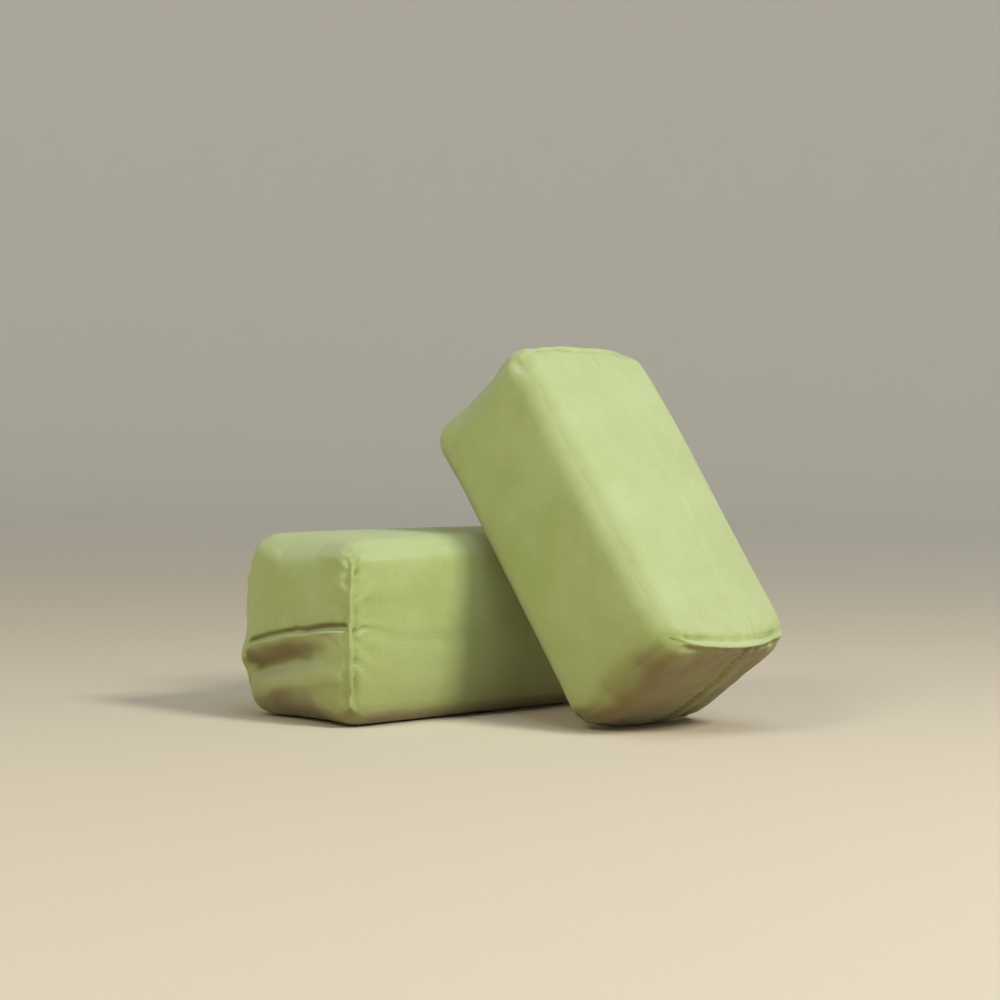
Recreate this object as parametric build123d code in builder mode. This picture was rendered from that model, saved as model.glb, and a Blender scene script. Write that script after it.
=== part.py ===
"""A pair of cloth-covered gymnastics chalk blocks, one lying down and one leaning on it.

Each block is a pressed magnesium-carbonate core in a sewn cover. The cover is one cloth folded
round the core: it is joined by a side seam along its back face and an end seam across each
end, and each end is squared off by two corner seams. Every seam is held by its own thread.

Frame: millimetres, +Z up. The origin is the centre of the lying block's underside, +X runs
along that block and +Y points from the leaning block towards the lying one.
"""

from build123d import *
from math import cos, radians, sin
import os

# One covered block: x along it, y through its thickness, z up its width, resting on z = 0
LENGTH = 100.0
THICKNESS = 45.0
WIDTH = 51.5
LONG_EDGE_RADIUS = 8.0
END_EDGE_RADIUS = 3.0
CLOTH = 0.6

# The cover fits the core closely round its sides and is slack at its ends, where the chalk has
# worn round
SIDE_CLEARANCE = 0.1
END_SLACK = 2.4
CORE_END_RADIUS = 7.0

# Seams: the cloth edges stand SEAM_GAP apart and the thread lies in that gap. The side seam
# and both end seams lie at one level, which is a little under half way up the block
SEAM_LEVEL = 23.5
SEAM_GAP = 0.5
THREAD_RADIUS = 0.2
TIP_ROUNDING = 0.18
THREAD_END_MARGIN = 1.5

# The leaning block stands on one end edge and leans back over the lying block's long edge
LEAN_ANGLE = 37.6
YAW_ANGLE = -1.7
FOOT_X = -3.5
REST_GAP = 2.1

# Derived sizes
HALF_LENGTH = LENGTH / 2
HALF_THICKNESS = THICKNESS / 2
MID_WIDTH = WIDTH / 2
FLAT_WIDTH = WIDTH - 2 * LONG_EDGE_RADIUS
MID_CLOTH = CLOTH / 2
CUT_MARGIN = 1.0

ENDS = {"left": -1, "right": 1}
SIDES = {"front": -1, "back": 1}


def rounded_block(side_inset, end_inset, end_radius):
    """A solid block with rounded edges, its faces set in from the outside of the cover."""
    with BuildPart() as block:
        with BuildSketch(Plane.YZ.offset(end_inset - HALF_LENGTH)):
            with Locations((0, MID_WIDTH)):
                RectangleRounded(
                    THICKNESS - 2 * side_inset,
                    WIDTH - 2 * side_inset,
                    LONG_EDGE_RADIUS - side_inset,
                )
        extrude(amount=LENGTH - 2 * end_inset)
        end_outlines = block.faces().filter_by(Axis.X).edges()
        fillet(end_outlines, end_radius)
    return block.part


def corner_plane(end, side):
    """A plane on a corner seam's middle: its x points out of the corner, its z up the seam."""
    arc_centre = (
        end * (HALF_LENGTH - END_EDGE_RADIUS),
        side * (HALF_THICKNESS - END_EDGE_RADIUS),
        MID_WIDTH,
    )
    return Plane(origin=arc_centre, x_dir=(end, side, 0), z_dir=(0, 0, 1))


def make_core():
    """The pressed chalk block inside the cover."""
    return rounded_block(CLOTH + SIDE_CLEARANCE, CLOTH + END_SLACK, CORE_END_RADIUS)


def make_cover():
    """The cloth: a thin shell, slit along the side seam, both end seams and the corner seams."""
    with BuildPart() as cover:
        add(rounded_block(0, 0, END_EDGE_RADIUS))
        add(rounded_block(CLOTH, CLOTH, END_EDGE_RADIUS - CLOTH), mode=Mode.SUBTRACT)
        # side seam and both end seams: one level slit, which stops short of the front face
        slit_back = HALF_THICKNESS + CUT_MARGIN
        with Locations((0, slit_back, SEAM_LEVEL)):
            Box(
                LENGTH + 2 * CUT_MARGIN,
                slit_back + HALF_THICKNESS - END_EDGE_RADIUS,
                SEAM_GAP,
                align=(Align.CENTER, Align.MAX, Align.CENTER),
                mode=Mode.SUBTRACT,
            )
        # corner seams: one slit down each upright edge
        for end in ENDS.values():
            for side in SIDES.values():
                with Locations(corner_plane(end, side)):
                    Box(
                        END_EDGE_RADIUS + CUT_MARGIN,
                        SEAM_GAP,
                        FLAT_WIDTH,
                        align=(Align.MIN, Align.CENTER, Align.CENTER),
                        mode=Mode.SUBTRACT,
                    )
    return cover.part


def straight_thread(start, direction, length):
    """A run of sewing thread with rounded tips."""
    with BuildPart() as thread:
        with BuildSketch(Plane(origin=start, z_dir=direction)):
            Circle(THREAD_RADIUS)
        extrude(amount=length)
        fillet(thread.edges(), TIP_ROUNDING)
    return thread.part


def make_side_thread():
    """The thread along the side seam, in the middle of the cloth of the back face."""
    length = LENGTH - 2 * (END_EDGE_RADIUS + THREAD_END_MARGIN)
    start = (-length / 2, HALF_THICKNESS - MID_CLOTH, SEAM_LEVEL)
    return straight_thread(start, (1, 0, 0), length)


def make_end_thread(end):
    """The thread across one end."""
    length = THICKNESS - 2 * (END_EDGE_RADIUS + THREAD_END_MARGIN)
    start = (end * (HALF_LENGTH - MID_CLOTH), -length / 2, SEAM_LEVEL)
    return straight_thread(start, (0, 1, 0), length)


def make_corner_thread(end, side):
    """The thread down one corner seam, in the middle of the cloth of the rounded edge."""
    length = FLAT_WIDTH - 2 * THREAD_END_MARGIN
    reach = END_EDGE_RADIUS - MID_CLOTH
    start = corner_plane(end, side).from_local_coords(Vector(reach, 0, -length / 2))
    return straight_thread(start, (0, 0, 1), length)


def make_block():
    """Every piece of one block, by its plain name."""
    pieces = {
        "chalk_core": make_core(),
        "cloth_cover": make_cover(),
        "side_seam_thread": make_side_thread(),
    }
    for end_name, end in ENDS.items():
        pieces[f"{end_name}_end_seam_thread"] = make_end_thread(end)
        for side_name, side in SIDES.items():
            pieces[f"{side_name}_{end_name}_corner_thread"] = make_corner_thread(end, side)
    return pieces


def leaning_location():
    """The leaning block's place: its x climbs the lean, and its z runs back along the foot.

    It stands on the edge between its left end and its back face. That foot edge starts at
    FOOT_X and is far enough forward to leave REST_GAP between the back face and the rounded
    long edge of the lying block. The cloth, which swells a little, fills that gap.
    """
    lean = radians(LEAN_ANGLE)
    yaw = radians(YAW_ANGLE)
    foot_rise = END_EDGE_RADIUS * (cos(lean) + sin(lean) - 1)
    edge_axis_y = LONG_EDGE_RADIUS - HALF_THICKNESS
    edge_axis_z = WIDTH - LONG_EDGE_RADIUS
    reach = LONG_EDGE_RADIUS + REST_GAP + sin(lean) * (edge_axis_z + foot_rise)
    foot_y = edge_axis_y - reach / (cos(lean) * cos(yaw))
    far_end_of_foot = (
        FOOT_X + WIDTH * cos(yaw),
        foot_y + WIDTH * sin(yaw),
        -foot_rise,
    )
    own_frame = Plane(
        origin=far_end_of_foot,
        x_dir=(-sin(lean) * sin(yaw), sin(lean) * cos(yaw), cos(lean)),
        z_dir=(-cos(yaw), -sin(yaw), 0),
    )
    return own_frame.location * Location((HALF_LENGTH, -HALF_THICKNESS, 0))


def save(piece, name):
    """Labels one piece with its node name and writes its STEP file."""
    piece.label = name
    export_step(piece, f"parts/{name}.step")


os.makedirs("parts", exist_ok=True)
stances = {"lying": Location((0, 0, 0)), "leaning": leaning_location()}
for stance, place in stances.items():
    for piece_name, piece in make_block().items():
        save(piece.moved(place), f"{stance}_{piece_name}")
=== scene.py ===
"""The looks of a pair of cloth-covered gymnastics chalk blocks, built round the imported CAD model.

Each cover is a box-shaped lattice wrapped over a soft block shape. A coarse copy is relaxed
over a solid core by cloth simulation, its creases are carried over to a fine lattice, and that
then gets what is too small to simulate: the raised corner seams with their ears, the folded
lap across each end, the side seam and the stitches. Lengths here are in millimetres, and the
meshes are in metres. A block's own axes are x along it, y through its thickness, from front
to back, and z across its width, all counted from its centre.
"""

import math

import bpy
import numpy as np
from mathutils import Matrix, Vector


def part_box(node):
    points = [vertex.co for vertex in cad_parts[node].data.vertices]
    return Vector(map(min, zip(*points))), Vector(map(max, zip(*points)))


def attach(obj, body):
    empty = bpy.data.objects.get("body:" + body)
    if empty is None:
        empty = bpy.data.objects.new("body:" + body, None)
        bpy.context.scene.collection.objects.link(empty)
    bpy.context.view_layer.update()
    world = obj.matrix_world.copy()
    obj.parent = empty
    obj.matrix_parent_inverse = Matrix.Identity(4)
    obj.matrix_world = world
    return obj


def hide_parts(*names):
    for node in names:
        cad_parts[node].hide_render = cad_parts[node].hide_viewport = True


MM = 0.001

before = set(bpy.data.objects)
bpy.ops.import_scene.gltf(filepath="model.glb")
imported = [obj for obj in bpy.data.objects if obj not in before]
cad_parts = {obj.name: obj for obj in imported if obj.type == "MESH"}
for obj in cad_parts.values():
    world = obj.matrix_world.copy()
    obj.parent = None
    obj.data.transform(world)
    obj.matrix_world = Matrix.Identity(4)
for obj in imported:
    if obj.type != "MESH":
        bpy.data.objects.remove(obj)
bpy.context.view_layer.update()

# ---------------------------------------------------------------- sizes, from the CAD frame

cover_low, cover_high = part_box("lying_cloth_cover")
thread_low, thread_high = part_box("lying_side_seam_thread")
HALF = np.array(cover_high - cover_low) / MM / 2
HALF_LENGTH, HALF_THICKNESS, HALF_WIDTH = HALF
SEAM_LEVEL = (thread_low.z + thread_high.z) / 2 / MM - HALF_WIDTH

# ---------------------------------------------------------------- the soft shape

SEAM_EDGE_RADIUS = 2.4
LONG_EDGE_RADIUS = 7.0
TURNED_EDGE_RADIUS = 10.0
ROUNDING_ZONE = 15.0
CROWN_POWER = 0.8
SHAPE_ROUNDS = 10
SEARCH_STEPS = 40
TINY = 1e-6

# How the two covers differ. swell is how far each face crowns at its middle.
# A lap is the folded closing seam across an end: the level of its edge at the front and at the
# back, how far it stands proud at the back, how deep the cloth sinks below it, and how thick
# its folded edge is.
# A bulge has its place along and across the block, as shares of the half sizes, how far it
# pushes along and across, and its reach.
# A bow is how far a corner seam curves outwards at its middle and at its tips.
# An ear is a seam tip that sticks out: its end, side, tip (1 is at high z) and height.
# A ridge is the share of the usual height that a seam's ridge has.
# A dent has its place, as shares of the half sizes, its push and its reach.
# Puckers lie beside a corner seam: each has its level, slope, reach and depth.
STYLES = {
    "lying": {
        "seed": 3,
        "swell": {"end": 1.8, "front": 1.0, "back": 1.4, "low": 0.0, "high": 0.3},
        "laps": {
            "left": {"front": 0.6, "back": -7.0, "proud": 1.7, "hollow": 3.3, "fold": 1.25},
            "right": {"front": -2.0, "back": -0.5, "proud": 0.6, "hollow": 1.2, "fold": 0.9},
        },
        "bulges": [],
        "bows": {("left", "back"): (-0.5, -0.3)},
        "ears": [("left", "front", -1, 0.9), ("right", "back", 1, 0.8)],
        "ridges": {},
        "dents": [],
        "puckers": {
            ("left", "front"): [
                (18.0, -0.25, 5.0, 0.6),
                (10.3, -0.1, 4.5, 0.4),
                (0.5, 0.15, 6.0, 0.6),
                (-6.6, -0.6, 7.5, 0.95),
                (-14.0, 0.3, 4.0, 0.3),
                (-20.5, -0.4, 5.0, 0.8),
            ],
        },
    },
    "leaning": {
        "seed": 8,
        "swell": {"end": 2.6, "front": 2.9, "back": 1.0, "low": 2.2, "high": 1.3},
        "bulges": [(1.0, 1.0, 0.9, 0.9, 13.0), (0.45, -1.0, 0.0, -1.2, 24.0)],
        "laps": {
            "left": {"front": -6.5, "back": -5.0, "proud": 0.3, "hollow": 0.8, "fold": 0.5},
            "right": {"front": -1.0, "back": -3.5, "proud": 0.5, "hollow": 1.2, "fold": 0.9},
        },
        "bows": {
            ("left", "front"): (2.0, -0.9),
            ("left", "back"): (0.0, -2.4),
            ("right", "front"): (0.3, 0.0),
        },
        "ears": [
            ("right", "front", 1, 0.5),
            ("left", "front", -1, 1.1),
            ("left", "back", 1, 0.6),
        ],
        "ridges": {("right", "front"): 0.6},
        "dents": [((0.9, -0.93, 0.97), (-0.3, 0.9, -0.9), 2.8)],
        "puckers": {},
    },
}
ENDS = {"left": -1, "right": 1}
SIDES = {"front": -1, "back": 1}


def wander(values, seed):
    """Smooth repeatable noise in one dimension, from -1 to 1, that turns about once per unit."""
    cell = np.floor(values)
    part = values - cell
    blend = part * part * (3 - 2 * part)

    def knot(n):
        wave = np.sin((n + seed * 17.17) * 127.1) * 43758.5453
        return 2 * (wave - np.floor(wave)) - 1

    return knot(cell) * (1 - blend) + knot(cell + 1) * blend


def hump(values, centre, width):
    """A bell of height 1."""
    return np.exp(-(((values - centre) / width) ** 2))


def ramp(values, start, end):
    """A smooth step from 0 at start to 1 at end."""
    t = np.clip((values - start) / (end - start), 0, 1)
    return t * t * (3 - 2 * t)


def soft_block(points, swell):
    """Wraps points of a sharp box over the soft block, and gives each point's way out of it."""
    inner = np.clip(points, ROUNDING_ZONE - HALF, HALF - ROUNDING_ZONE)
    rays = points - inner
    rays /= np.linalg.norm(rays, axis=1, keepdims=True)

    def outside(reach):
        """How far the point at this reach along its ray is outside the rounded block."""
        place = np.abs(inner + rays * reach[:, None])
        near = np.clip(place - (HALF - ROUNDING_ZONE), 0, None) / ROUNDING_ZONE
        seam = near[:, 0] * near[:, 1]
        long = near[:, 1] * near[:, 2]
        turned = near[:, 0] * near[:, 2]
        mixed = seam * SEAM_EDGE_RADIUS + long * LONG_EDGE_RADIUS + turned * TURNED_EDGE_RADIUS
        radius = (mixed + TINY * LONG_EDGE_RADIUS) / (seam + long + turned + TINY)
        beyond = place - HALF + radius[:, None]
        corner = np.linalg.norm(np.clip(beyond, 0, None), axis=1)
        return corner + np.minimum(beyond.max(axis=1), 0) - radius

    low = np.zeros(len(points))
    high = np.full(len(points), 2 * ROUNDING_ZONE)
    for _ in range(SEARCH_STEPS):
        middle = (low + high) / 2
        inside = outside(middle) < 0
        low = np.where(inside, middle, low)
        high = np.where(inside, high, middle)
    surface = inner + rays * low[:, None]

    share = 1 - (points / HALF) ** 2
    rise = {
        0: np.full(len(points), swell["end"]),
        1: np.where(points[:, 1] < 0, swell["front"], swell["back"]),
        2: np.where(points[:, 2] < 0, swell["low"], swell["high"]),
    }
    for axis in range(3):
        others = [n for n in range(3) if n != axis]
        flatness = np.prod(np.clip(share[:, others], 0, 1) ** CROWN_POWER, axis=1)
        facing = rays[:, axis] ** 2
        surface[:, axis] += rise[axis] * flatness * facing * np.sign(points[:, axis])
    return surface, rays


# ---------------------------------------------------------------- lattices


def graded_stops(breaks, spots, fine, coarse, reach):
    """Stops through all the breaks, spaced fine near the spots and coarse away from them."""
    stops = [breaks[:1]]
    for start, end in zip(breaks[:-1], breaks[1:]):
        trial = np.linspace(start, end, 2001)
        nearness = np.zeros_like(trial)
        for spot in spots:
            nearness = np.maximum(nearness, hump(trial, spot, reach))
        density = 1 / (coarse + (fine - coarse) * nearness)
        steps = (density[1:] + density[:-1]) / 2 * np.diff(trial)
        total = np.concatenate([[0], np.cumsum(steps)])
        count = max(2, round(total[-1]))
        wanted = np.linspace(0, total[-1], count + 1)[1:]
        stops.append(np.interp(wanted, total, trial))
    return np.concatenate(stops)


def block_stops(fine, coarse, reach):
    """The stops of a block's lattice along its three axes."""
    length, thickness, width = HALF
    ear = width - EAR_INSET
    return [
        graded_stops([-length, length], [-length, length], fine, coarse, reach),
        graded_stops([-thickness, thickness], [-thickness, thickness], fine, coarse, reach),
        graded_stops([-width, SEAM_LEVEL, width], [-ear, SEAM_LEVEL, ear], fine, coarse, reach),
    ]


class Lattice:
    """The outside vertices of a box-shaped grid, and the quads between them."""

    def __init__(self, stops):
        self.stops = stops
        counts = [len(s) for s in stops]
        grid = np.indices(counts)
        skin = np.zeros(counts, bool)
        for axis in range(3):
            skin |= (grid[axis] == 0) | (grid[axis] == counts[axis] - 1)
        self.index = -np.ones(counts, int)
        self.index[skin] = np.arange(skin.sum())
        self.points = np.stack([stops[axis][grid[axis][skin]] for axis in range(3)], axis=1)
        quads = []
        for axis in range(3):
            for last in (False, True):
                sheet = self.sheet(axis, last)
                a, b, c, d = sheet[:-1, :-1], sheet[1:, :-1], sheet[1:, 1:], sheet[:-1, 1:]
                ring = (a, b, c, d) if last != (axis == 1) else (a, d, c, b)
                quads.append(np.stack(ring, axis=-1).reshape(-1, 4))
        self.quads = np.concatenate(quads)

    def sheet(self, axis, last):
        """The vertex numbers of one face, as a grid."""
        return np.take(self.index, -1 if last else 0, axis=axis)


def cubic_weights(known, wanted):
    """A matrix that interpolates smoothly from values at the known stops to the wanted ones."""
    count = len(known)
    left = np.clip(np.searchsorted(known, wanted, side="right") - 1, 0, count - 2)
    step = known[left + 1] - known[left]
    t = (wanted - known[left]) / step
    rows = np.arange(len(wanted))
    weights = np.zeros((len(wanted), count))
    weights[rows, left] = 2 * t**3 - 3 * t**2 + 1
    weights[rows, left + 1] = 3 * t**2 - 2 * t**3
    for stop, slope in ((left, t**3 - 2 * t**2 + t), (left + 1, t**3 - t**2)):
        before = np.maximum(stop - 1, 0)
        after = np.minimum(stop + 1, count - 1)
        share = slope * step / (known[after] - known[before])
        weights[rows, after] += share
        weights[rows, before] -= share
    return weights


def carried_over(coarse, fine, moves):
    """Moves of the coarse lattice's vertices, interpolated on the fine lattice."""
    weights = [cubic_weights(c, f) for c, f in zip(coarse.stops, fine.stops)]
    result = np.zeros((len(fine.points), 3))
    for axis in range(3):
        first, second = [weights[n] for n in range(3) if n != axis]
        for last in (False, True):
            known = moves[coarse.sheet(axis, last)]
            result[fine.sheet(axis, last)] = np.einsum(
                "ai,bj,ijk->abk", first, second, known, optimize=True
            )
    return result


def smoothed(rings, values, rounds):
    """Values evened out between the neighbours round each face."""
    starts = rings.ravel()
    ends = np.roll(rings, -1, axis=1).ravel()
    degree = np.bincount(starts, minlength=len(values)) + np.bincount(ends, minlength=len(values))
    for _ in range(rounds):
        total = np.zeros_like(values)
        for k in range(values.shape[1]):
            total[:, k] = np.bincount(starts, values[ends, k], len(values))
            total[:, k] += np.bincount(ends, values[starts, k], len(values))
        values = (values + total / degree[:, None]) / 2
    return values


# ---------------------------------------------------------------- meshes


def mesh_object(name, points, faces):
    """A smooth-shaded mesh object, from points in metres."""
    mesh = bpy.data.meshes.new(name)
    mesh.from_pydata(points.tolist(), [], [list(map(int, face)) for face in faces])
    mesh.update()
    mesh.shade_smooth()
    thing = bpy.data.objects.new(name, mesh)
    bpy.context.scene.collection.objects.link(thing)
    return thing


# ---------------------------------------------------------------- cloth simulation

SIM_SCALE = 10
SIM_FRAMES = 25
CORE_INSET = 1.0
MOST_MOVE = 1.8
CARRY_ROUNDS = 3

# How far a seam gathers the cloth beside it, where a corner seam starts to do so, counted from
# a narrow face, and how strongly a lap and the side seam do it next to a corner seam
PULL_REACH = 1.6
PULL_FADE = (5, 12)
LAP_PULL = 0.6
SIDE_PULL = 0.35

# Away from its corner seams a cover is stretched smooth, and keeps a share of its creases there
MIDDLE_SHARE = 0.15
GATHER_REACH = 7.0


def pull_of_seams(points, seed):
    """How strongly each point of the cloth is gathered by the seam it lies on, from 0 to 1."""
    x, y, z = points.T
    from_end = HALF_LENGTH - np.abs(x)
    from_side = HALF_THICKNESS - np.abs(y)
    from_narrow = HALF_WIDTH - np.abs(z)
    corner = hump(from_end + from_side, 0, PULL_REACH) * ramp(from_narrow, *PULL_FADE)
    corner = corner * (0.75 + 0.25 * wander(z / 5 + np.sign(x) * 3 + np.sign(y) * 7, seed))
    lap = LAP_PULL * hump(z, SEAM_LEVEL, PULL_REACH) * (from_end < TINY)
    side = SIDE_PULL * hump(z, SEAM_LEVEL, PULL_REACH) * (y > HALF_THICKNESS - TINY)
    return np.maximum(np.maximum(corner, lap), side)


def relaxed_cloth(lattice, points, core_lattice, core_points, pull):
    """Points of a cover after it has drawn tight over its core, by Blender's cloth."""
    scene = bpy.context.scene
    core = mesh_object("sim_core", core_points * MM * SIM_SCALE, core_lattice.quads)
    core.modifiers.new("collision", "COLLISION")
    core.collision.thickness_outer = 0.002
    core.collision.cloth_friction = 5
    cloth = mesh_object("sim_cloth", points * MM * SIM_SCALE, lattice.quads)
    group = cloth.vertex_groups.new(name="gathered")
    for number, weight in enumerate(pull):
        if weight > 0.001:
            group.add([number], float(weight), "REPLACE")
    modifier = cloth.modifiers.new("cloth", "CLOTH")
    settings = modifier.settings
    settings.quality = 6
    settings.mass = 0.3
    settings.tension_stiffness = 20
    settings.compression_stiffness = 20
    settings.shear_stiffness = 10
    settings.bending_stiffness = 0.3
    settings.tension_damping = 10
    settings.compression_damping = 10
    settings.shear_damping = 10
    settings.use_pressure = True
    settings.uniform_pressure_force = 0.3
    settings.vertex_group_shrink = group.name
    settings.shrink_min = -0.006
    settings.shrink_max = 0.07
    settings.effector_weights.gravity = 0
    modifier.collision_settings.distance_min = 0.004
    modifier.collision_settings.collision_quality = 3
    modifier.collision_settings.use_self_collision = False
    modifier.point_cache.frame_start = 1
    modifier.point_cache.frame_end = SIM_FRAMES
    scene.frame_start = 1
    scene.frame_end = SIM_FRAMES
    for step in range(1, SIM_FRAMES + 1):
        scene.frame_set(step)
    evaluated = cloth.evaluated_get(bpy.context.evaluated_depsgraph_get())
    places = np.zeros(len(points) * 3, np.float32)
    evaluated.data.vertices.foreach_get("co", places)
    bpy.data.objects.remove(cloth)
    bpy.data.objects.remove(core)
    scene.frame_set(1)
    return places.reshape(-1, 3).astype(float) / SIM_SCALE / MM


# ---------------------------------------------------------------- seams, laps and creases

# The ridge of a corner seam. It rises out of the narrow face over RIDGE_FADE, wavers from side
# to side, is uneven in height, and moves by RIDGE_SHARE out of each of the faces that it joins.
RIDGE_HEIGHT = 1.0
RIDGE_WIDTH = 1.0
RIDGE_FADE = (2.5, 9.0)
RIDGE_SHARE = 0.72
RIDGE_WAVER = 0.22
WAVER_LENGTH = 5.3
RIDGE_UNEVEN = 0.25
GROOVE_UNEVEN = 0.7
UNEVEN_LENGTH = 3.4
BOW_REACH = 8.0

# The grooves beside a ridge, on the wide face and on the end: depth, distance from it, width
WIDE_GROOVE = (0.65, 2.0, 0.65)
END_GROOVE = (0.12, -2.0, 0.8)

# Puckers where a seam has none of its own: how many, how far apart, and their share on an end
USUAL_PUCKERS = 6
PUCKER_PITCH = 7.2
END_PUCKERS = 0.6

# An ear, and the nick on the inner side of it: distance from the narrow face, length and width
EAR_INSET = 4.0
EAR_SIZE = (2.0, 1.7)
NICK_INSET = EAR_INSET + 4
NICK_SIZE = (1.6, 1.8)
NICK_SHARE = 0.45

# Cross-section of the folded edge of a lap, as (up the end, out of the end): from the lower
# flap, over its rolled edge and back into the crease, to where the upper flap comes out
LAP_LIFT = 1.1
LAP_FOLD = [
    (0.0, LAP_LIFT),
    (0.3, LAP_LIFT + 0.05),
    (0.6, LAP_LIFT - 0.03),
    (0.85, LAP_LIFT - 0.2),
    (0.98, LAP_LIFT - 0.45),
    (0.95, LAP_LIFT - 0.75),
    (0.75, LAP_LIFT - 0.98),
    (0.45, LAP_LIFT - 1.15),
    (0.25, LAP_LIFT - 1.32),
    (0.3, LAP_LIFT - 1.5),
]
LAP_TAPER = (0.2, 3.0)
LAP_FALLOFF = 3.2

# A lap's edge is wavy, falls away from front to back, and bends the lattice over BEND_ZONE,
# counted from the end
LAP_WAVE = 0.3
LAP_WAVE_LENGTH = 5.5
LAP_FALL_POWER = 1.6
BEND_ZONE = (20, 6)

# Shapes of an end round its lap, each with its height or depth, how far it is below the lap's
# edge, and its width. The hollow grows from front to back, the roll is the swelling below it,
# and the dish lies across the upper part. They fade out over SEAM_MARGIN from a corner seam.
PROUD = (1.0, 1.5, 4.5)
HOLLOW = (1.0, 5.8, 3.0)
HOLLOW_GROWTH = (-22, 4)
ROLL = (0.35, 12.5, 3.5)
DISH = (0.8, -12, 8)
DISH_SPREAD = (-2, 12)
WAVES = (0.2, 5, 9)
SEAM_MARGIN = 6.5

# The upper flap sinks a little along the lap, and sharply in the wavy crease
UPPER_SINK = (0.25, -1.0, 1.8)
CREASE = (1.0, -1.45, 0.62)
CREASE_WAVER = 0.22
CREASE_WAVER_LENGTH = 2.4

# The side seam: its line, the swelling on both sides of it, and the small tucks beside it
SIDE_LINE = (0.75, 0, 0.6)
SIDE_SWELL = (0.28, 1.6, 0.8)
SIDE_FADE = (4, 9)
SIDE_WAVER = 0.3
TUCK_DEPTH = 0.18
TUCK_REACH = 2.5


def bell(values, height, centre, width):
    """A bell of the given height."""
    return height * hump(values, centre, width)


def lap_height(lap, y):
    """The level of a lap's edge: it runs nearly level from the front, then falls away."""
    share = np.clip((y + HALF_THICKNESS) / (2 * HALF_THICKNESS), 0, 1)
    wave = LAP_WAVE * wander(y / LAP_WAVE_LENGTH, 2) * 4 * share * (1 - share)
    return lap["front"] + (lap["back"] - lap["front"]) * share**LAP_FALL_POWER + wave


def bent_to_laps(points, laps):
    """Slides the lattice up or down near each end, so that one row of it follows the lap."""
    bent = points.copy()
    for end_name, end in ENDS.items():
        start, full = [HALF_LENGTH - distance for distance in BEND_ZONE]
        nearness = ramp(points[:, 0] * end, start, full)
        shift = lap_height(laps[end_name], points[:, 1]) - SEAM_LEVEL
        above = points[:, 2] > SEAM_LEVEL
        room = np.where(above, HALF_WIDTH - SEAM_LEVEL, HALF_WIDTH + SEAM_LEVEL)
        share = 1 - np.abs(points[:, 2] - SEAM_LEVEL) / room
        bent[:, 2] += nearness * shift * np.clip(share, 0, 1)
    return bent


def usual_puckers(seed):
    """Puckers at uneven places along a corner seam."""
    places = []
    for k in range(USUAL_PUCKERS):
        chance = wander(np.array([k * 1.7, k * 2.3 + 40, k * 3.1 + 80]) + 0.37, seed)
        level = PUCKER_PITCH * (k - (USUAL_PUCKERS - 1) / 2 + 0.4 * chance[0])
        slope = 0.4 * chance[1]
        reach = 5.5 + 2.0 * chance[2]
        depth = 0.45 + 0.2 * chance[0]
        places.append((level, slope, reach, depth))
    return places


def pucker_depth(away, z, places):
    """How deep the puckers are at a distance from their seam, with their swollen sides."""
    depth = np.zeros_like(z)
    for level, slope, reach, most in places:
        across = (z - level - slope * away) / (0.75 + 0.1 * away)
        length = ramp(away, 0.9, 2.2) * (1 - ramp(away, 0.3 * reach, reach))
        depth += most * length * (hump(across, 0, 1) - 0.5 * hump(across, 0, 2.2))
    return depth


def corner_seam(points, end_name, side_name, style):
    """Moves that raise one corner seam: its wavy ridge, grooves, puckers and ears."""
    x, y, z = points.T
    end = ENDS[end_name]
    side = SIDES[side_name]
    seed = style["seed"] + 2 * end + 5 * side
    from_end = HALF_LENGTH - end * x
    from_side = HALF_THICKNESS - side * y
    from_narrow = HALF_WIDTH - np.abs(z)
    on_end = (from_end < TINY) & (from_side < HALF_THICKNESS)
    on_side = (from_side < TINY) & (from_end < HALF_LENGTH)
    across = np.where(on_end, -from_side, from_end)
    present = (on_end | on_side) * ramp(from_narrow, *RIDGE_FADE)
    wavy = across + RIDGE_WAVER * wander(z / WAVER_LENGTH, seed)
    height = RIDGE_HEIGHT * style["ridges"].get((end_name, side_name), 1)
    uneven = 1 + RIDGE_UNEVEN * wander(z / UNEVEN_LENGTH, seed + 0.5)
    ridge = height * uneven * hump(wavy, 0, RIDGE_WIDTH)
    uneven = 1 + GROOVE_UNEVEN * wander(z / UNEVEN_LENGTH, seed + 0.25)
    groove = uneven * (bell(wavy, *WIDE_GROOVE) + bell(wavy, *END_GROOVE))
    places = style["puckers"].get((end_name, side_name), usual_puckers(seed))
    on_wide = on_side & ~on_end
    groove += on_wide * pucker_depth(from_end, z, places)
    groove += on_end * END_PUCKERS * pucker_depth(from_side, z, usual_puckers(seed + 0.6))
    rise = present * ridge
    for ear_end, ear_side, tip, ear in style["ears"]:
        if (ear_end, ear_side) == (end_name, side_name):
            from_tip = HALF_WIDTH - tip * z
            point = ear * hump(from_tip, EAR_INSET, EAR_SIZE[0]) * hump(across, 0, EAR_SIZE[1])
            nick = hump(from_tip, NICK_INSET, NICK_SIZE[0]) * hump(across, 0, NICK_SIZE[1])
            rise += (on_end | on_side) * (point - NICK_SHARE * ear * nick)
    middle_bow, tip_bow = style["bows"].get((end_name, side_name), (0, 0))
    moves = np.zeros_like(points)
    moves[:, 0] = end * (RIDGE_SHARE * rise - present * groove * on_end)
    moves[:, 1] = side * (RIDGE_SHARE * rise - present * groove * on_wide)
    from_seam = np.maximum(from_end, from_side)
    on_its_half = (from_end < HALF_LENGTH) * (from_side < HALF_THICKNESS)
    spread = np.exp(-from_seam / BOW_REACH) * on_its_half
    to_tip = (z / HALF_WIDTH) ** 2
    moves[:, 0] += end * spread * (middle_bow * (1 - to_tip) + tip_bow * to_tip)
    return moves


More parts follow.
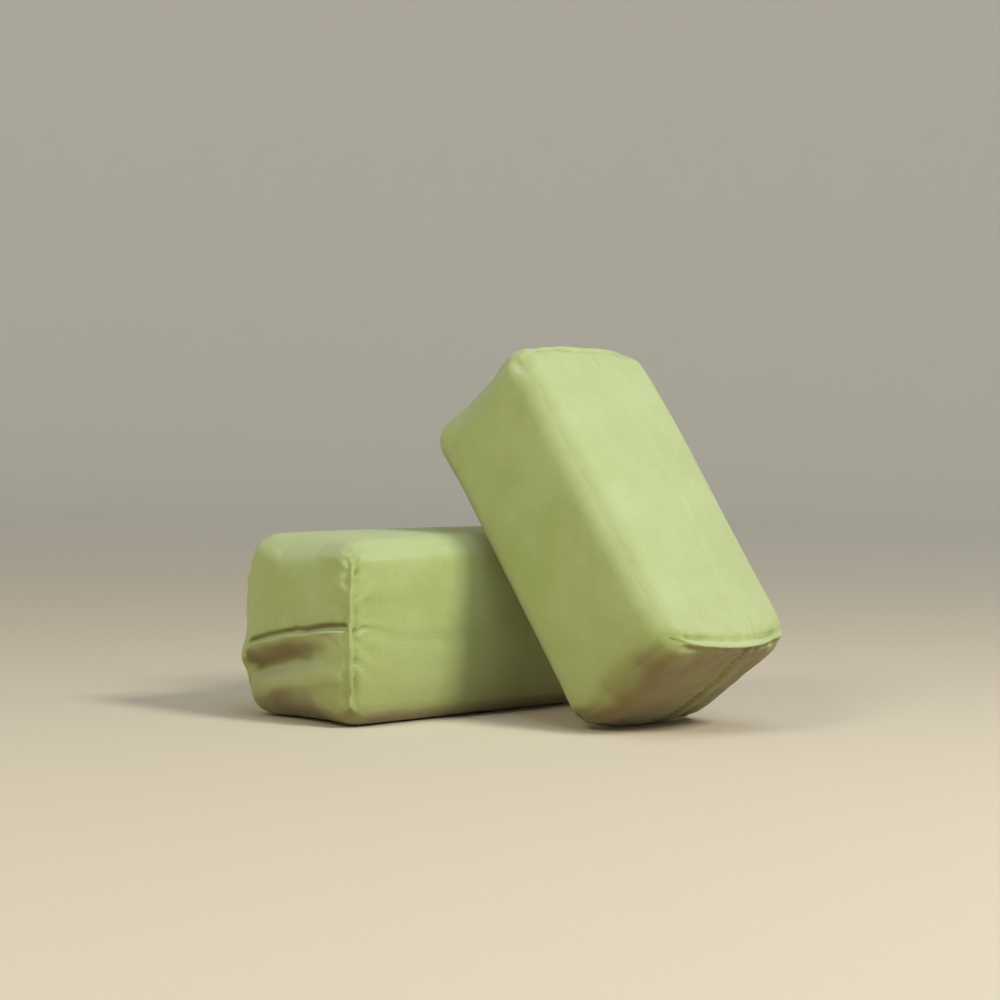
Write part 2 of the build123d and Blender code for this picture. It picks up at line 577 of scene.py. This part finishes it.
def end_shape(points, end_name, style):
    """Moves along x that lift an end's lower flap and sink the cloth below and above its lap."""
    x, y, z = points.T
    end = ENDS[end_name]
    lap = style["laps"][end_name]
    on_end = ramp(x * end, HALF_LENGTH - 3, HALF_LENGTH)
    from_seams = HALF_THICKNESS - np.abs(y)
    inside = ramp(from_seams, 0, SEAM_MARGIN)
    below = lap_height(lap, y) - z
    hollow = lap["hollow"] * ramp(y, *HOLLOW_GROWTH) * bell(below, *HOLLOW)
    dish = hump(y, *DISH_SPREAD) * bell(below, *DISH)
    roll = lap["hollow"] * bell(below, *ROLL)
    waves = wander(y / 6.5 + z / 17, style["seed"] + end) * bell(below, *WAVES)
    to_back = ramp(y, -HALF_THICKNESS, HALF_THICKNESS)
    proud = lap["proud"] * bell(below, *PROUD) * to_back
    is_lower = below > -TINY
    lower = LAP_LIFT * np.exp(-np.clip(below, 0, None) / LAP_FALLOFF) * is_lower
    waver = wander(y / CREASE_WAVER_LENGTH, style["seed"] + 3 * end)
    wavy = below + CREASE_WAVER * waver
    upper = (bell(below, *UPPER_SINK) + bell(wavy, *CREASE)) * ~is_lower
    flap = lap["fold"] * ramp(from_seams, *LAP_TAPER) * (lower - upper)
    moves = np.zeros_like(points)
    moves[:, 0] = end * on_end * (proud + flap + inside * (roll + waves - hollow - dish))
    return moves


def side_seam(points, seed):
    """Moves that press the side seam into the back face, with small tucks beside it."""
    x, y, z = points.T
    present = (y > HALF_THICKNESS - TINY) * ramp(HALF_LENGTH - np.abs(x), *SIDE_FADE)
    across = z - SEAM_LEVEL - SIDE_WAVER * wander(x / 7, seed)
    line = bell(across, *SIDE_LINE) - bell(np.abs(across), *SIDE_SWELL)
    tucks = TUCK_DEPTH * wander(x / 3.1, seed + 0.5) * np.exp(-np.abs(across) / TUCK_REACH)
    moves = np.zeros_like(points)
    moves[:, 1] = present * (tucks - line)
    return moves


def folded(lattice, points, laps):
    """The cover's points and four-sided rings, with both laps folded over their creases.

    Also gives each point's place on the unfolded cloth, for its weave.
    """
    row = int(np.argmin(np.abs(lattice.stops[2] - SEAM_LEVEL)))
    rings = lattice.quads.copy()
    count = len(points)
    extra_points = []
    extra_places = []
    extra_rings = []
    for end_name, end in ENDS.items():
        sheet = lattice.sheet(0, end > 0)
        line, above, below = sheet[:, row], sheet[:, row + 1], sheet[:, row - 1]
        upward = points[above] - points[below]
        upward /= np.linalg.norm(upward, axis=1, keepdims=True)
        outward = np.array([end, 0.0, 0.0])
        from_seams = HALF_THICKNESS - np.abs(lattice.points[line, 1])
        taper = laps[end_name]["fold"] * ramp(from_seams, *LAP_TAPER)[:, None]
        foot = points[line] - LAP_LIFT * taper * outward
        rows = [line]
        run = 0.0
        for before, (up, out) in zip(LAP_FOLD[:-1], LAP_FOLD[1:]):
            fresh = np.arange(count, count + len(line) - 2)
            count += len(fresh)
            rows.append(np.concatenate([line[:1], fresh, line[-1:]]))
            run += math.dist(before, (up, out))
            extra_points.append((foot + taper * (up * upward + out * outward))[1:-1])
            extra_places.append(lattice.points[line][1:-1] + (0, 0, run))
        hidden = np.arange(count)
        hidden[line] = rows[-1]
        over = np.isin(rings, line).any(axis=1) & np.isin(rings, above).any(axis=1)
        rings[over] = hidden[rings[over]]
        for first, second in zip(rows[:-1], rows[1:]):
            strip = np.stack([first[:-1], first[1:], second[1:], second[:-1]], axis=1)
            extra_rings.append(strip if end > 0 else strip[:, ::-1])
    points = np.concatenate([points, *extra_points])
    places = np.concatenate([lattice.points, *extra_places])
    return points, places, np.concatenate([rings, *extra_rings])


# ---------------------------------------------------------------- placing a block


def thread_direction(node):
    """The direction in which a straight thread of the CAD model runs."""
    points = np.array([v.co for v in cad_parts[node].data.vertices])
    spread = np.linalg.svd(points - points.mean(axis=0), full_matrices=False)
    return Vector(spread[2][0])


def middle_of(node):
    """The middle of a CAD node's box."""
    low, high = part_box(node)
    return (low + high) / 2


def block_matrix(stance):
    """Where a block's own axes lie, read from the CAD model's threads."""
    centre = middle_of(f"{stance}_cloth_cover")
    along = thread_direction(f"{stance}_side_seam_thread")
    to_right = middle_of(f"{stance}_right_end_seam_thread") - centre
    along = along if along.dot(to_right) > 0 else -along
    through = thread_direction(f"{stance}_left_end_seam_thread")
    to_back = middle_of(f"{stance}_side_seam_thread") - centre
    through = through if through.dot(to_back) > 0 else -through
    place = Matrix((along, through, along.cross(through))).transposed().to_4x4()
    place.translation = centre
    return place


# ---------------------------------------------------------------- contact

# How far each cover may stand out of its CAD face where the blocks meet, and how far along the
# leaning block that holds, before it may swell by CONTACT_SLACK more
LEANING_LIMIT = 1.1
LYING_LIMIT = 1.5
CONTACT_REACH = 16.0
CONTACT_SLACK = 4.0
CONTACT_SOFTNESS = 0.4


def kept_under(values, limit):
    """Values eased smoothly so that none passes the limit."""
    over = values - limit
    return values - (over + np.sqrt(over**2 + CONTACT_SOFTNESS**2)) / 2


def to_world(points, place):
    """A block's own points in world millimetres."""
    spot = np.array(place)
    return points @ spot[:3, :3].T + spot[:3, 3] / MM


def to_own(points, place):
    """World points, in millimetres, in a block's own axes."""
    spot = np.array(place)
    return (points - spot[:3, 3] / MM) @ spot[:3, :3]


def settled(points, stance, places):
    """World points of a cover, flattened where it stands on the floor or meets its neighbour."""
    own = to_own(points, places["leaning"])
    if stance == "leaning":
        edge = np.array([[middle_of("lying_cloth_cover").x, cover_low.y, cover_high.z]]) / MM
        edge_x = to_own(edge, places["leaning"])[0, 0]
        slack = CONTACT_SLACK * (1 - hump(own[:, 0], edge_x, CONTACT_REACH))
        own[:, 1] = kept_under(own[:, 1], HALF_THICKNESS + LEANING_LIMIT + slack)
    else:
        own[:, 1] = -kept_under(-own[:, 1], -HALF_THICKNESS - LYING_LIMIT)
    points = to_world(own, places["leaning"])
    points[:, 2] = -kept_under(-points[:, 2], 0)
    return points


# ---------------------------------------------------------------- the covers

coarse_lattice = Lattice(block_stops(fine=1.1, coarse=1.7, reach=3.0))
core_lattice = Lattice(block_stops(fine=2.5, coarse=5.0, reach=5.0))
fine_lattice = Lattice(block_stops(fine=0.38, coarse=0.85, reach=4.0))


def simulated_moves(style):
    """How the fine lattice's points move when the cover draws tight."""
    seed = style["seed"]
    start, _ = soft_block(coarse_lattice.points, style["swell"])
    core, core_rays = soft_block(core_lattice.points, style["swell"])
    pull = pull_of_seams(coarse_lattice.points, seed)
    core_points = core - CORE_INSET * core_rays
    moves = relaxed_cloth(coarse_lattice, start, core_lattice, core_points, pull) - start
    size = np.linalg.norm(moves, axis=1, keepdims=True)
    moves *= np.minimum(1, MOST_MOVE / np.maximum(size, TINY))
    from_end = HALF_LENGTH - np.abs(coarse_lattice.points[:, 0])
    from_side = HALF_THICKNESS - np.abs(coarse_lattice.points[:, 1])
    from_seam = np.where(from_end < TINY, from_side, from_end)
    moves *= (MIDDLE_SHARE + (1 - MIDDLE_SHARE) * hump(from_seam, 0, GATHER_REACH))[:, None]
    moves = carried_over(coarse_lattice, fine_lattice, moves)
    return smoothed(fine_lattice.quads, moves, CARRY_ROUNDS)


def cover_surface(style):
    """The fine lattice's points on the finished cover, before its laps are folded."""
    grid = bent_to_laps(fine_lattice.points, style["laps"])
    surface, _ = soft_block(grid, style["swell"])
    for along, over, push_along, push_over, reach in style["bulges"]:
        distance = np.hypot(grid[:, 0] - along * HALF_LENGTH, grid[:, 2] - over * HALF_WIDTH)
        push = hump(distance, 0, reach)
        surface[:, 0] += push_along * push
        surface[:, 2] += push_over * push
    surface = smoothed(fine_lattice.quads, surface, SHAPE_ROUNDS)
    for place, push, reach in style["dents"]:
        distance = np.linalg.norm(grid - np.array(place) * HALF, axis=1)
        surface += np.array(push) * hump(distance, 0, reach)[:, None]
    surface += simulated_moves(style)
    for end_name in ENDS:
        surface += end_shape(grid, end_name, style)
        for side_name in SIDES:
            surface += corner_seam(grid, end_name, side_name, style)
    return surface + side_seam(grid, style["seed"])


# How widely the cloth is evened out to find what stands out of it, and how the painted shade
# low down fades out above the ground
LEVEL_ROUNDS = 30
PAINTED_SHADE_HEIGHT = 11.0
PAINTED_SHADE_SHARE = 0.7


def add_cloth_data(cover, places, rings):
    """Gives the cover what its material needs to know at each point.

    That is the directions of its threads, how far it stands out of the cloth around it, how
    much painted shade it gets where it faces down and near the ground, and how much it faces
    up, for dust with a painted sheen.
    """
    mesh = cover.data
    corners = np.zeros(len(mesh.loops), int)
    mesh.loops.foreach_get("vertex_index", corners)
    starts = np.zeros(len(mesh.polygons), int)
    mesh.polygons.foreach_get("loop_start", starts)
    totals = np.zeros(len(mesh.polygons), int)
    mesh.polygons.foreach_get("loop_total", totals)
    most = np.maximum.reduceat(places[corners], starts)
    least = np.minimum.reduceat(places[corners], starts)
    is_flat = most - least < TINY
    flat_axis = np.where(is_flat[:, 0], 0, np.where(is_flat[:, 1], 1, 2))
    axis = np.repeat(flat_axis, totals)
    first = np.where(axis == 0, 1, 0)
    second = np.where(axis == 2, 1, 2)
    threads = np.zeros((len(corners), 3))
    threads[:, 0] = places[corners, first]
    threads[:, 1] = places[corners, second]
    mesh.attributes.new("thread_mm", "FLOAT_VECTOR", "CORNER").data.foreach_set(
        "vector", threads.ravel()
    )
    points = np.zeros(len(mesh.vertices) * 3)
    mesh.vertices.foreach_get("co", points)
    points = points.reshape(-1, 3) / MM
    normals = np.zeros(len(mesh.vertices) * 3)
    mesh.vertices.foreach_get("normal", normals)
    normals = normals.reshape(-1, 3)
    level = smoothed(rings, points, LEVEL_ROUNDS)
    # Painted shade and floor bounce: faces turned down and points near the ground are darkened
    facing_down = ramp(-normals[:, 2], 0.05, 0.75)
    near_ground = PAINTED_SHADE_SHARE * np.exp(-points[:, 2] / PAINTED_SHADE_HEIGHT)
    values = {
        "standing_out": ((points - level) * normals).sum(axis=1),
        "soiling": np.maximum(facing_down, near_ground),
        # faces turned up, for settled dust and a painted sheen of the light from above
        "dust": ramp(normals[:, 2], 0.05, 0.6),
    }
    for name, each in values.items():
        mesh.attributes.new(name, "FLOAT", "POINT").data.foreach_set("value", each)


def make_cover(stance, points, places, rings):
    """One block's cloth cover."""
    faces = [list(dict.fromkeys(ring)) for ring in rings.tolist()]
    cover = mesh_object(f"{stance}_cover", points * MM, [ring for ring in faces if len(ring) > 2])
    add_cloth_data(cover, places, rings)
    return cover


# ---------------------------------------------------------------- stitches

STITCH_RADIUS = 0.13
STITCH_LENGTH = 1.3
STITCH_PITCH = 2.1
STITCH_SINK = 0.12
STITCH_OFFSET = 1.9
LAP_STITCH_OFFSET = 0.9
STITCH_SIDES = 6
STITCH_RINGS = 7


def stitch_line(name, points, normals):
    """A row of small stitches along a line on the cloth, each dipping in at both its ends."""
    steps = np.linalg.norm(np.diff(points, axis=0), axis=1)
    arc = np.concatenate([[0], np.cumsum(steps)])
    count = int(arc[-1] // STITCH_PITCH)
    margin = (arc[-1] - count * STITCH_PITCH) / 2
    rounds = np.linspace(0, 2 * math.pi, STITCH_SIDES, endpoint=False)
    vertices = []
    faces = []
    for k in range(count):
        middle = margin + (k + 0.5) * STITCH_PITCH
        rings = []
        for u in np.linspace(-1, 1, STITCH_RINGS):
            s = middle + u * STITCH_LENGTH / 2
            place = np.array([np.interp(s, arc, points[:, n]) for n in range(3)])
            out = np.array([np.interp(s, arc, normals[:, n]) for n in range(3)])
            out /= np.linalg.norm(out)
            before = np.array([np.interp(s - 0.2, arc, points[:, n]) for n in range(3)])
            side = np.cross(place - before + 1e-9, out)
            side /= np.linalg.norm(side)
            radius = STITCH_RADIUS * math.sqrt(max(0.08, 1 - u**2 * 0.9))
            centre = place + out * (0.3 * STITCH_RADIUS * (1 - u**2) - STITCH_SINK * u**2)
            rings.append(len(vertices))
            for angle in rounds:
                vertices.append(centre + radius * (math.cos(angle) * side + math.sin(angle) * out))
        for first, second in zip(rings[:-1], rings[1:]):
            for n in range(STITCH_SIDES):
                m = (n + 1) % STITCH_SIDES
                faces.append([first + n, first + m, second + m, second + n])
        faces.append([rings[0] + n for n in range(STITCH_SIDES)][::-1])
        faces.append([rings[-1] + n for n in range(STITCH_SIDES)])
    return mesh_object(name, np.array(vertices) * MM, faces)


def nearest(stops, value):
    """The number of the stop nearest to a value."""
    return int(np.argmin(np.abs(stops - value)))


def seam_lines():
    """For each CAD thread, the lattice vertices that its stitches follow."""
    xs, ys, zs = fine_lattice.stops
    seam_row = nearest(zs, SEAM_LEVEL)
    stitch_row = nearest(zs, SEAM_LEVEL + LAP_STITCH_OFFSET)
    along = slice(nearest(xs, 6 - HALF_LENGTH), nearest(xs, HALF_LENGTH - 6) + 1)
    through = slice(nearest(ys, 4 - HALF_THICKNESS), nearest(ys, HALF_THICKNESS - 4) + 1)
    up = slice(nearest(zs, 9 - HALF_WIDTH), nearest(zs, HALF_WIDTH - 9) + 1)
    lines = {"side_seam_thread": fine_lattice.index[along, -1, seam_row]}
    for end_name, end in ENDS.items():
        end_column = 0 if end < 0 else -1
        lines[f"{end_name}_end_seam_thread"] = fine_lattice.index[end_column, through, stitch_row]
        column = nearest(xs, end * (HALF_LENGTH - STITCH_OFFSET))
        for side_name, side in SIDES.items():
            face = 0 if side < 0 else -1
            name = f"{side_name}_{end_name}_corner_thread"
            lines[name] = fine_lattice.index[column, face, up]
    return lines


def make_stitches(stance, cover, material):
    """The stitches of every seam of one block."""
    vertices = cover.data.vertices
    for seam, line in seam_lines().items():
        points = np.array([vertices[int(n)].co for n in line]) / MM
        normals = np.array([vertices[int(n)].normal for n in line])
        stitches = stitch_line(f"{stance}_{seam}_stitches", points, normals)
        stitches.data.materials.append(material)
        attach(stitches, f"{stance}_block")
        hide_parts(f"{stance}_{seam}")


# ---------------------------------------------------------------- materials


class Material:
    """A new Principled material, with short ways to add and join its nodes."""

    def __init__(self, name):
        self.material = bpy.data.materials.new(name)
        self.material.use_nodes = True
        self.tree = self.material.node_tree
        self.shader = self.tree.nodes["Principled BSDF"]

    def feed(self, socket, value):
        """Sets a socket to a value, or joins another node's socket to it."""
        if isinstance(value, bpy.types.NodeSocket):
            self.tree.links.new(value, socket)
        else:
            socket.default_value = value

    def math(self, operation, *values):
        """The result of a Math node."""
        node = self.tree.nodes.new("ShaderNodeMath")
        node.operation = operation
        for socket, value in zip(node.inputs, values):
            self.feed(socket, value)
        return node.outputs[0]

    def attribute(self, name, output):
        """A value stored on the mesh."""
        node = self.tree.nodes.new("ShaderNodeAttribute")
        node.attribute_name = name
        return node.outputs[output]

    def own_place(self):
        """The place on the piece, in metres."""
        return self.tree.nodes.new("ShaderNodeTexCoord").outputs["Object"]

    def scaled(self, vector, factors):
        """A vector with each part multiplied."""
        node = self.tree.nodes.new("ShaderNodeVectorMath")
        node.operation = "MULTIPLY"
        self.feed(node.inputs[0], vector)
        node.inputs[1].default_value = factors
        return node.outputs[0]

    def noise(self, vector, scale, detail=2.0, roughness=0.5):
        """Smooth noise, about 0.5 on average."""
        node = self.tree.nodes.new("ShaderNodeTexNoise")
        self.feed(node.inputs["Vector"], vector)
        node.inputs["Scale"].default_value = scale
        node.inputs["Detail"].default_value = detail
        node.inputs["Roughness"].default_value = roughness
        return node.outputs[0]

    def between(self, value, low, high, start=0.0, end=1.0):
        """Maps a value's range low to high smoothly on to start to end."""
        node = self.tree.nodes.new("ShaderNodeMapRange")
        node.interpolation_type = "SMOOTHSTEP"
        for socket, setting in zip(node.inputs, (value, low, high, start, end)):
            self.feed(socket, setting)
        return node.outputs[0]

    def mixed(self, share, first, second):
        """A mix of two colours."""
        node = self.tree.nodes.new("ShaderNodeMix")
        node.data_type = "RGBA"
        self.feed(node.inputs["Factor"], share)
        self.feed(node.inputs[6], first)
        self.feed(node.inputs[7], second)
        return node.outputs[2]

    def bump(self, height, depth, below=None):
        """Relief of the given depth in metres, on top of another relief."""
        node = self.tree.nodes.new("ShaderNodeBump")
        node.inputs["Distance"].default_value = depth
        self.feed(node.inputs["Height"], height)
        if below is not None:
            self.feed(node.inputs["Normal"], below)
        return node.outputs["Normal"]


THREAD_PITCH = 0.33
CLOTH_COLOUR = (0.445, 0.55, 0.185, 1)
CLOTH_PALE = (0.57, 0.67, 0.35, 1)
CLOTH_OLIVE = (0.37, 0.44, 0.13, 1)
# Painted shade: a dark brown laid into creases, grooves, hollows and between the threads
PAINTED_CREASE_SHADE_COLOUR = (0.20, 0.17, 0.012, 1)
# Wear and a painted highlight: pale on seam ridges, rolled lap edges and other raised cloth
WEAR_AND_HIGHLIGHT_COLOUR = (0.80, 0.83, 0.62, 1)
# Dust and a painted sheen: a paler, bluer green on faces turned up
DUST_AND_SHEEN_COLOUR = (0.53, 0.60, 0.42, 1)
# Painted shade: the dark brown of shade and floor bounce low down on the blocks
PAINTED_LOW_SHADE_COLOUR = (0.19, 0.11, 0.02, 1)
CHALK_COLOUR = (0.90, 0.90, 0.88, 1)
CHALK_SHADE = (0.80, 0.79, 0.75, 1)
PAPER_COLOUR = (0.67, 0.59, 0.49, 1)
# Painted light: the far backdrop is paler, in place of light that reaches it
PAPER_FAR_PAINTED_LIGHT_COLOUR = (0.93, 0.90, 0.86, 1)


def make_cloth_material():
    """Fine plain-woven cotton: uneven threads, mottling, worn ridges with a painted highlight, dust
    with a painted sheen where it faces up, and painted shade in its creases, between its threads
    and low down.
    """
    cloth = Material("woven_cloth")
    threads = cloth.attribute("thread_mm", "Vector")
    split = cloth.tree.nodes.new("ShaderNodeSeparateXYZ")
    cloth.feed(split.inputs[0], threads)
    waves = [
        cloth.math("SINE", cloth.math("MULTIPLY", split.outputs[n], math.pi / THREAD_PITCH))
        for n in range(2)
    ]
    # where the two waves agree the one set of threads lies on top, and elsewhere the other
    on_top = cloth.math("MULTIPLY", waves[0], waves[1])
    warp_on_top = cloth.between(on_top, -0.6, 0.6)
    weft_on_top = cloth.between(on_top, -0.6, 0.6, 1.0, 0.0)
    warp = cloth.math("MULTIPLY", cloth.math("ABSOLUTE", waves[0]), warp_on_top)
    weft = cloth.math("MULTIPLY", cloth.math("ABSOLUTE", waves[1]), weft_on_top)
    weave = cloth.math("MAXIMUM", warp, weft)
    warp_slubs = cloth.noise(cloth.scaled(threads, (2.2, 0.09, 1)), 1.0, 3.0, 0.6)
    weft_slubs = cloth.noise(cloth.scaled(threads, (0.09, 2.2, 1)), 1.0, 3.0, 0.6)
    slubs = cloth.math("ADD", warp_slubs, weft_slubs)

    place = cloth.own_place()
    clouds = cloth.noise(place, 55.0, 3.0, 0.55)
    specks = cloth.noise(place, 900.0, 2.0, 0.6)
    colour = cloth.mixed(cloth.between(clouds, 0.32, 0.68), CLOTH_OLIVE, CLOTH_PALE)
    colour = cloth.mixed(0.7, colour, CLOTH_COLOUR)
    colour = cloth.mixed(cloth.between(slubs, 0.8, 1.3, 0.0, 0.22), colour, CLOTH_PALE)
    # painted shade between the threads of the weave
    colour = cloth.mixed(cloth.between(weave, 0.0, 0.55, 0.10, 0.0), colour, PAINTED_CREASE_SHADE_COLOUR)
    detail = cloth.attribute("standing_out", "Fac")
    # painted shade where the cloth sinks below its neighbours: creases, grooves and hollows
    colour = cloth.mixed(cloth.between(detail, -0.15, -1.2, 0.0, 0.85), colour, PAINTED_CREASE_SHADE_COLOUR)
    # pale where the cloth stands out: wear, and a painted highlight on the ridges and rolled edges
    wear_and_highlight = cloth.math("MULTIPLY", cloth.between(detail, 0.3, 1.1), cloth.between(specks, 0.3, 0.65))
    colour = cloth.mixed(cloth.math("MULTIPLY", wear_and_highlight, 0.4), colour, WEAR_AND_HIGHLIGHT_COLOUR)
    # paler where the cloth faces up: settled dust, and a painted sheen of the light from above
    dust_and_sheen_amount = cloth.between(specks, 0.3, 0.65, 0.26, 0.42)
    dust_and_sheen = cloth.math("MULTIPLY", cloth.attribute("dust", "Fac"), dust_and_sheen_amount)
    colour = cloth.mixed(dust_and_sheen, colour, DUST_AND_SHEEN_COLOUR)
    # Painted shade and floor bounce: dark brown, in patches, on faces turned down and near the
    # ground
    patchy = cloth.between(clouds, 0.2, 0.6, 0.6, 0.92)
    painted_low_shade_share = cloth.math("MULTIPLY", cloth.attribute("soiling", "Fac"), patchy)
    colour = cloth.mixed(painted_low_shade_share, colour, PAINTED_LOW_SHADE_COLOUR)
    cloth.feed(cloth.shader.inputs["Base Color"], colour)

    cloth.feed(cloth.shader.inputs["Roughness"], cloth.between(slubs, 0.7, 1.3, 0.56, 0.7))
    cloth.shader.inputs["Specular IOR Level"].default_value = 0.5
    cloth.shader.inputs["Sheen Weight"].default_value = 0.4
    cloth.shader.inputs["Sheen Roughness"].default_value = 0.45
    cloth.shader.inputs["Sheen Tint"].default_value = (0.95, 1.0, 0.86, 1)

    relief = cloth.bump(cloth.noise(place, 260.0, 3.0, 0.5), 0.00022)
    relief = cloth.bump(slubs, 0.00007, relief)
    relief = cloth.bump(weave, 0.00006, relief)
    cloth.feed(cloth.shader.inputs["Normal"], relief)
    return cloth.material


def make_thread_material():
    """Cotton sewing thread in the colour of the cloth."""
    thread = Material("cotton_thread")
    place = thread.own_place()
    fuzz = thread.noise(place, 4000.0, 2.0)
    colour = thread.mixed(thread.between(fuzz, 0.35, 0.65), CLOTH_COLOUR, CLOTH_PALE)
    thread.feed(thread.shader.inputs["Base Color"], colour)
    thread.shader.inputs["Roughness"].default_value = 0.75
    thread.shader.inputs["Sheen Weight"].default_value = 0.2
    thread.feed(thread.shader.inputs["Normal"], thread.bump(fuzz, 0.00008))
    return thread.material


def make_chalk_material():
    """Pressed magnesium carbonate: chalk white, powdery and finely pitted."""
    chalk = Material("pressed_chalk")
    place = chalk.own_place()
    clouds = chalk.noise(place, 60.0, 4.0, 0.6)
    grains = chalk.noise(place, 1400.0, 4.0, 0.65)
    colour = chalk.mixed(chalk.between(clouds, 0.3, 0.7), CHALK_SHADE, CHALK_COLOUR)
    chalk.feed(chalk.shader.inputs["Base Color"], colour)
    chalk.feed(chalk.shader.inputs["Roughness"], chalk.between(grains, 0.3, 0.7, 0.85, 0.97))
    chalk.shader.inputs["Specular IOR Level"].default_value = 0.2
    relief = chalk.bump(clouds, 0.0006)
    chalk.feed(chalk.shader.inputs["Normal"], chalk.bump(grains, 0.00025, relief))
    return chalk.material


# ---------------------------------------------------------------- both blocks

cloth_material = make_cloth_material()
thread_material = make_thread_material()
chalk_material = make_chalk_material()
block_places = {stance: block_matrix(stance) for stance in STYLES}

for stance, style in STYLES.items():
    surface = cover_surface(style)
    own_points, cloth_places, cloth_rings = folded(fine_lattice, surface, style["laps"])
    standing = settled(to_world(own_points, block_places[stance]), stance, block_places)
    cover = make_cover(stance, standing, cloth_places, cloth_rings)
    cover.data.materials.append(cloth_material)
    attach(cover, f"{stance}_block")
    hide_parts(f"{stance}_cloth_cover")
    make_stitches(stance, cover, thread_material)
    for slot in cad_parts[f"{stance}_chalk_core"].material_slots:
        slot.material = chalk_material

# ---------------------------------------------------------------- floor, light and camera

CAMERA_PLACE = (-501.1, -519.8, 87.8)
CAMERA_HEADING = 45.58
CAMERA_PITCH = -2.14
CAMERA_ROLL = 0.86
CAMERA_LENS = 90.0

camera_data = bpy.data.cameras.new("camera")
camera_data.lens = CAMERA_LENS
camera_data.sensor_width = 36.0
camera = bpy.data.objects.new("camera", camera_data)
bpy.context.scene.collection.objects.link(camera)
turn = Matrix.Rotation(math.radians(-CAMERA_HEADING), 4, "Z")
tilt = Matrix.Rotation(math.radians(90 + CAMERA_PITCH), 4, "X")
roll = Matrix.Rotation(math.radians(CAMERA_ROLL), 4, "Z")
camera.matrix_world = Matrix.Translation(Vector(CAMERA_PLACE) * MM) @ turn @ tilt @ roll
bpy.context.scene.camera = camera

FLOOR_RADIUS = 1.2
BACKDROP_BEND = 0.6
BACKDROP_HEIGHT = 0.3
BACKDROP_SEGMENTS = 96
BEND_STEPS = 12
FLAT_RADIUS = 0.5


def make_backdrop():
    """A pale floor that curves up into a wall all round, so that no horizon shows, painted paler
    further out in place of light reaching the far wall.
    """
    profile = [(FLAT_RADIUS, 0), (FLOOR_RADIUS, 0)]
    for step in range(1, BEND_STEPS + 1):
        angle = math.radians(90 / BEND_STEPS * step)
        out = FLOOR_RADIUS + BACKDROP_BEND * math.sin(angle)
        profile.append((out, BACKDROP_BEND * (1 - math.cos(angle))))
    profile.append((FLOOR_RADIUS + BACKDROP_BEND, BACKDROP_BEND + BACKDROP_HEIGHT))
    points = [(0.0, 0.0, 0.0)]
    faces = []
    for radius, height in profile:
        for k in range(BACKDROP_SEGMENTS):
            angle = 2 * math.pi * k / BACKDROP_SEGMENTS
            points.append((radius * math.cos(angle), radius * math.sin(angle), height))
    for k in range(BACKDROP_SEGMENTS):
        after = (k + 1) % BACKDROP_SEGMENTS
        faces.append([0, 1 + k, 1 + after])
        for ring in range(len(profile) - 1):
            inner = 1 + ring * BACKDROP_SEGMENTS
            outer = inner + BACKDROP_SEGMENTS
            faces.append([inner + k, outer + k, outer + after, inner + after])
    backdrop = mesh_object("backdrop", np.array(points), faces)
    paper = Material("pale_paper")
    away = paper.tree.nodes.new("ShaderNodeVectorMath")
    away.operation = "LENGTH"
    paper.feed(away.inputs[0], paper.own_place())
    # painted light: paler further out, where less light reaches the wall
    far_painted_light = paper.between(away.outputs["Value"], 0.25, 1.3)
    colour = paper.mixed(far_painted_light, PAPER_COLOUR, PAPER_FAR_PAINTED_LIGHT_COLOUR)
    paper.feed(paper.shader.inputs["Base Color"], colour)
    paper.shader.inputs["Roughness"].default_value = 0.9
    grain = paper.noise(paper.own_place(), 600.0)
    paper.feed(paper.shader.inputs["Normal"], paper.bump(grain, 0.0001))
    backdrop.data.materials.append(paper.material)


LIT_PLACE = Vector((0, -0.02, 0.05))


def area_light(name, direction, distance, size, power, colour):
    """A square soft light that looks at the blocks from a direction."""
    data = bpy.data.lights.new(name, "AREA")
    data.energy = power
    data.size = size
    data.color = colour
    light = bpy.data.objects.new(name, data)
    towards = Vector(direction).normalized()
    light.location = LIT_PLACE + towards * distance
    light.rotation_euler = towards.to_track_quat("Z", "Y").to_euler()
    bpy.context.scene.collection.objects.link(light)


make_backdrop()
area_light("key", (0.13, -0.79, 0.69), 1.0, 0.2, 6.5, (1.0, 0.98, 0.84))
area_light("overhead", (-0.1, -0.35, 1.0), 1.5, 1.0, 7.0, (0.66, 0.84, 1.0))
area_light("fill", (-0.8, -0.05, 0.7), 1.0, 0.35, 2.7, (1.0, 0.92, 0.70))
world = bpy.data.worlds.new("world")
world.use_nodes = True
world.node_tree.nodes["Background"].inputs["Color"].default_value = (1.0, 0.88, 0.66, 1)
world.node_tree.nodes["Background"].inputs["Strength"].default_value = 0.16
bpy.context.scene.world = world
bpy.context.scene.view_settings.view_transform = "Standard"
